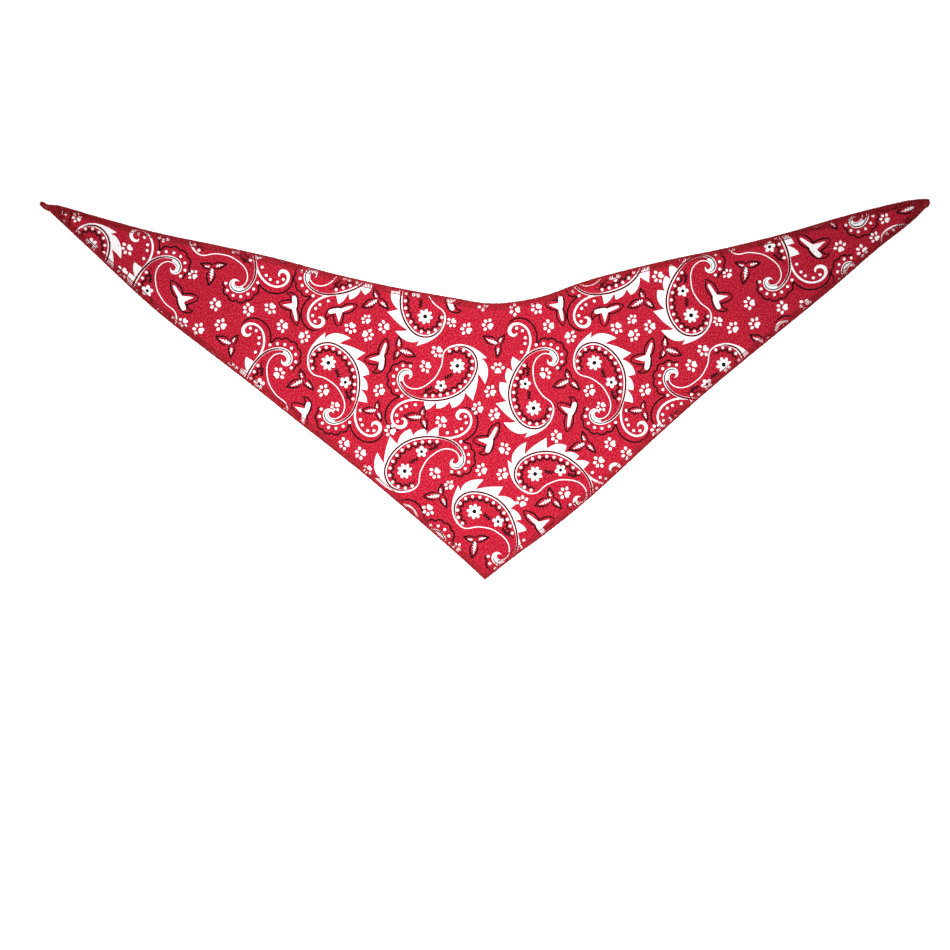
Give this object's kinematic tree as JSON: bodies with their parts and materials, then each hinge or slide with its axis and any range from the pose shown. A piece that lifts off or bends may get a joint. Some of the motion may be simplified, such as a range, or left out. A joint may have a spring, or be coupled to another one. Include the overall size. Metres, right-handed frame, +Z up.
{
  "type": "dog bandana",
  "caption": "Tie-on triangular dog bandana in red paisley and paw print cotton, hollowed at the neck, with overlocked edges, laid flat.",
  "frame": {"origin": "middle of the bandana's box, on the surface that it lies on", "axes": "+X from the left tip to the right tip, +Y towards the neck edge, +Z up out of the printed face"},
  "size_m": [0.68, 0.2914, 0.0033],
  "materials": {
    "printed_cotton": "matt plain-weave cotton, printed",
    "overlock_thread": "soft spun thread, overlocked"
  },
  "bodies": {
    "root": {"cotton_panel": "printed_cotton", "neck_overlock": "overlock_thread", "left_overlock": "overlock_thread", "right_overlock": "overlock_thread", "left_tail": "overlock_thread", "right_tail": "overlock_thread"}
  },
  "joints": []
}
